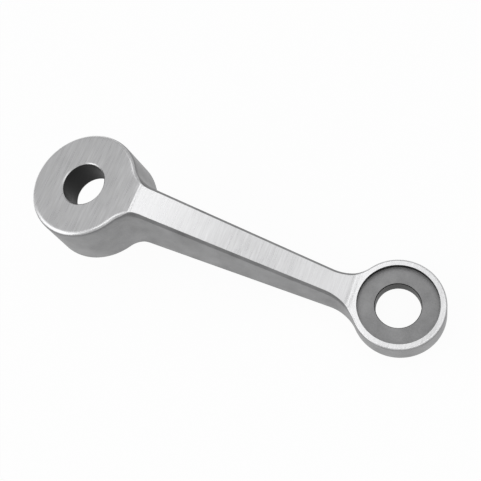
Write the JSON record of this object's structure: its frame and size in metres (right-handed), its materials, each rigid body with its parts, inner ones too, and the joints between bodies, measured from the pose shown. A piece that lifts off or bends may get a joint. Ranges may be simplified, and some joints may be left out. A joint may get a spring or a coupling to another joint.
{
  "type": "glass spider fitting",
  "caption": "Cast steel spider arm for point-fixed glazing: a bored round hub, a sloping tapered arm and a lower eye with a recessed hole for the glass bolt.",
  "frame": {"origin": "on the hub's axis, at the hub's back face, in the mouth of the seat", "axes": "+Z along the hub's bore, out of its face; +X along the arm, from the hub to the eye; the part is symmetric about the XZ plane"},
  "size_m": [0.1887, 0.0526, 0.0583],
  "materials": {
    "satin_steel": "investment-cast stainless steel with a satin ground finish; the recess floors are matt from blasting"
  },
  "bodies": {
    "root": {"spider_arm": "satin_steel"}
  },
  "joints": []
}
